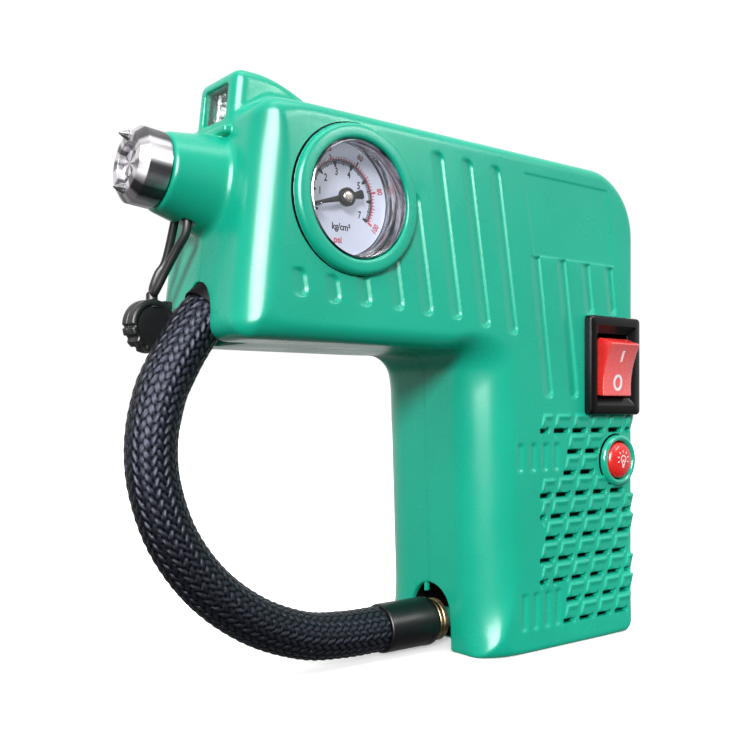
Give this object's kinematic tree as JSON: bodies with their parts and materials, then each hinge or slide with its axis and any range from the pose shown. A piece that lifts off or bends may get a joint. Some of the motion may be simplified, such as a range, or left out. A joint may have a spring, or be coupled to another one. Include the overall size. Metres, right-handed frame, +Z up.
{
  "type": "electric air mattress pump",
  "caption": "Hand-held cordless air pump in a green L-shaped casing with pressure gauge, lamp, rocker switch, light button, hammer tip and a braided hose parked in its foot.",
  "frame": {"origin": "centre of the flat base face under the grip column, on the base cover", "axes": "+Z up, nose and snout towards -X, gauge and switches on the -Y side, the casing's shells meet on the plane Y = 0"},
  "size_m": [0.1688, 0.0569, 0.158],
  "materials": {
    "casing_green": "glossy",
    "black_plastic": "satin",
    "matte_black": "matte",
    "red_plastic": "glossy",
    "white_plastic": "matte",
    "dial_face": "matte",
    "needle_black": "satin",
    "clear_cover": "polished",
    "reflector_chrome": "polished",
    "bezel_steel": "polished",
    "tip_aluminium": "turned",
    "spike_steel": "polished",
    "steel": "brushed",
    "brass": "satin",
    "collar_brass": "satin",
    "aluminium": "cast",
    "board": "matte",
    "cell_wrap": "satin",
    "hose_braid": "woven",
    "rubber": "matte",
    "seal_rubber": "matte",
    "wire": "satin",
    "zinc_screw": "zinc plated"
  },
  "bodies": {
    "root": {"shell_left": "casing_green", "shell_right": "casing_green", "base_cover": "casing_green", "stow_post": "casing_green", "button_collar": "casing_green", "switch_housing": "black_plastic", "button_switch": "matte_black", "dc_jack": "matte_black", "cell_holder": "matte_black", "motor_end_cap": "matte_black", "gauge_case": "steel", "gauge_bezel": "bezel_steel", "gauge_dial": "dial_face", "gauge_lens": "clear_cover", "bourdon_tube": "brass", "gauge_stem": "brass", "manifold": "brass", "outlet_tube": "brass", "hose_barb": "brass", "lamp_lens": "clear_cover", "lamp_reflector": "reflector_chrome", "lamp_board": "board", "control_board": "board", "hammer_tip": "tip_aluminium", "hammer_spike_upper": "spike_steel", "hammer_spike_lower": "spike_steel", "hose": "hose_braid", "hose_ferrule": "steel", "chuck_sleeve": "black_plastic", "motor_can": "steel", "crank_axle": "steel", "frame_plate": "steel", "cylinder": "aluminium", "valve_plate": "steel", "cylinder_head": "aluminium", "cell_front": "cell_wrap", "cell_rear": "cell_wrap", "lamp_lead": "wire", "motor_lead": "wire", "screw_1": "zinc_screw", "screw_2": "zinc_screw", "screw_3": "zinc_screw", "screw_4": "zinc_screw", "screw_5": "zinc_screw", "screw_6": "zinc_screw"},
    "rocker": {"rocker": "red_plastic"},
    "lamp_button": {"lamp_button": "red_plastic"},
    "gauge_needle": {"gauge_needle": "needle_black"},
    "crank": {"crank_gear": "white_plastic"},
    "motor_shaft": {"motor_pinion": "brass"},
    "piston": {"piston": "aluminium", "piston_seal": "seal_rubber"},
    "chuck_collar": {"chuck_collar": "collar_brass"},
    "tether": {"tether_strap": "rubber", "tether_cap": "rubber"}
  },
  "joints": [
    {"name": "rocker_tilt", "type": "hinge", "parent": "root", "child": "rocker", "pos_m": [0.0205, -0.0235, 0.086], "axis": [-1, 0, 0], "range_deg": [0, 24]},
    {"name": "lamp_button_press", "type": "slide", "parent": "root", "child": "lamp_button", "axis": [0, 1, 0], "range_m": [0, 0.0015], "stiffness_N_per_m": 400},
    {"name": "gauge_needle_turn", "type": "hinge", "parent": "root", "child": "gauge_needle", "pos_m": [-0.0803, -0.0203, 0.1268], "axis": [0, 1, 0], "range_deg": [0, 224], "stiffness_Nm_per_rad": 0.00002},
    {"name": "crank_spin", "type": "hinge", "parent": "root", "child": "crank", "pos_m": [-0.0012, 0, 0.103], "axis": [0, 0, 1], "continuous": true},
    {"name": "motor_spin", "type": "hinge", "parent": "root", "child": "motor_shaft", "pos_m": [-0.018, 0, 0.103], "axis": [0, 0, 1], "continuous": true},
    {"name": "piston_stroke", "type": "slide", "parent": "root", "child": "piston", "axis": [-1, 0, 0], "range_m": [0, 0.008]},
    {"name": "chuck_collar_turn", "type": "hinge", "parent": "root", "child": "chuck_collar", "pos_m": [-0.03295, 0, 0.0083], "axis": [1, 0, 0], "continuous": true},
    {"name": "tether_swing", "type": "hinge", "parent": "root", "child": "tether", "pos_m": [-0.116, 0.0054, 0.1195], "axis": [1, 0, 0], "range_deg": [0, 34]}
  ],
  "couplings": [
    {"joint": "motor_spin", "follows": "crank_spin", "ratio": -4.6}
  ]
}
